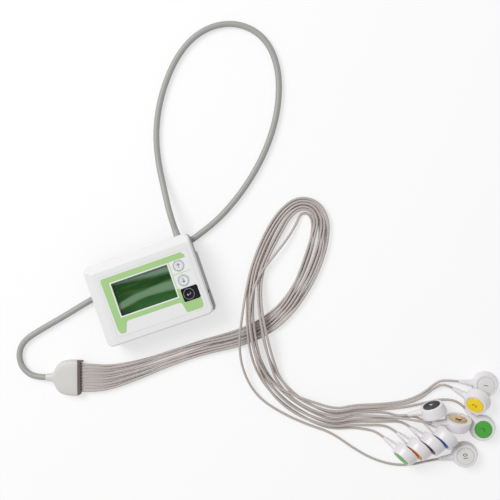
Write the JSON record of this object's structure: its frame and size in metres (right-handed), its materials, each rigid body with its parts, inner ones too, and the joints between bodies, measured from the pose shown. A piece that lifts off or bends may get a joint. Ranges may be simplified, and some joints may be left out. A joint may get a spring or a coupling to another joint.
{
  "type": "holter monitor",
  "caption": "Body-worn heart recorder with display, keys, battery and card doors, and a patient cable that divides into leads with snap connectors.",
  "frame": {"origin": "centre of the recorder's footprint, on the table it lies on", "axes": "+Z out of the recorder's face, +X to the right of the face, +Y towards the side where the cable leaves"},
  "size_m": [0.328, 0.3609, 0.0224],
  "materials": {
    "white_plastic": "fine matte moulding grain",
    "grey_plastic": "fine matte moulding grain",
    "printed_label": "printed satin polyester",
    "clear_lens": "clear gloss acrylic",
    "display_glass": "liquid crystal panel",
    "key_rubber": "satin silicone",
    "black_key": "smooth satin",
    "steel": "bright",
    "nickel_brass": "nickel plated",
    "circuit_board": "green solder mask",
    "dark_plastic": "matte",
    "cell_wrap": "printed sleeve",
    "seal_rubber": "matte",
    "cable_jacket": "satin grey jacket",
    "lead_jacket": "satin grey jacket",
    "yoke_plastic": "matte light grey",
    "comb_rubber": "dark matte",
    "snap_body": "white and taupe overmould",
    "cap_white": "gloss",
    "cap_blue": "gloss",
    "cap_orange": "gloss",
    "cap_yellow": "gloss",
    "cap_green": "gloss",
    "cap_black": "gloss",
    "cap_red": "gloss",
    "cap_violet": "gloss"
  },
  "bodies": {
    "recorder": {"front_cover": "white_plastic", "rear_cover": "grey_plastic", "face_label": "printed_label", "display_lens": "clear_lens", "display_module": "display_glass", "key_domes": "steel", "housing_seal": "seal_rubber", "case_screws": "steel", "battery_cell_1": "cell_wrap", "battery_cell_2": "cell_wrap", "battery_contacts": "steel", "circuit_board": "circuit_board", "board_components": "dark_plastic", "card_socket": "steel", "memory_card": "dark_plastic", "card_door_pin": "steel", "cable_gland": "seal_rubber", "trunk_cable": "cable_jacket", "yoke_neck": "yoke_plastic", "yoke_body": "yoke_plastic", "yoke_comb": "comb_rubber", "stud_socket": "nickel_brass", "snap_sockets": "nickel_brass", "lead_wire_1": "lead_jacket", "lead_wire_2": "lead_jacket", "lead_wire_3": "lead_jacket", "lead_wire_4": "lead_jacket", "lead_wire_5": "lead_jacket", "lead_wire_6": "lead_jacket", "lead_wire_7": "lead_jacket", "lead_wire_8": "lead_jacket", "lead_wire_9": "lead_jacket", "lead_wire_10": "lead_jacket", "snap_body_1": "snap_body", "snap_body_2": "snap_body", "snap_body_3": "snap_body", "snap_body_4": "snap_body", "snap_body_5": "snap_body", "snap_body_6": "snap_body", "snap_body_7": "snap_body", "snap_body_8": "snap_body", "snap_body_9": "snap_body", "snap_body_10": "snap_body", "snap_cap_white": "cap_white", "snap_cap_yellow": "cap_yellow", "snap_cap_green": "cap_green", "snap_cap_black": "cap_black", "snap_cap_red": "cap_red", "snap_cap_blue": "cap_blue", "snap_cap_violet": "cap_violet", "snap_cap_orange": "cap_orange"},
    "battery_door": {"battery_door": "grey_plastic"},
    "card_door": {"card_door": "grey_plastic"},
    "up_button": {"up_button": "key_rubber"},
    "down_button": {"down_button": "key_rubber"},
    "enter_button": {"enter_button": "black_key"}
  },
  "joints": [
    {"name": "battery_door_slide", "type": "slide", "parent": "recorder", "child": "battery_door", "axis": [0, -1, 0], "range_m": [0, 0.007]},
    {"name": "card_door_hinge", "type": "hinge", "parent": "recorder", "child": "card_door", "pos_m": [0.03945, -0.0214, 0.0054], "axis": [0, 1, 0], "range_deg": [0, 90]},
    {"name": "up_button_press", "type": "slide", "parent": "recorder", "child": "up_button", "axis": [0, 0, -1], "range_m": [0, 0.00045], "stiffness_N_per_m": 1500, "springref_m": -0.0002},
    {"name": "down_button_press", "type": "slide", "parent": "recorder", "child": "down_button", "axis": [0, 0, -1], "range_m": [0, 0.00045], "stiffness_N_per_m": 1500, "springref_m": -0.0002},
    {"name": "enter_button_press", "type": "slide", "parent": "recorder", "child": "enter_button", "axis": [0, 0, -1], "range_m": [0, 0.00045], "stiffness_N_per_m": 1500, "springref_m": -0.0002}
  ]
}
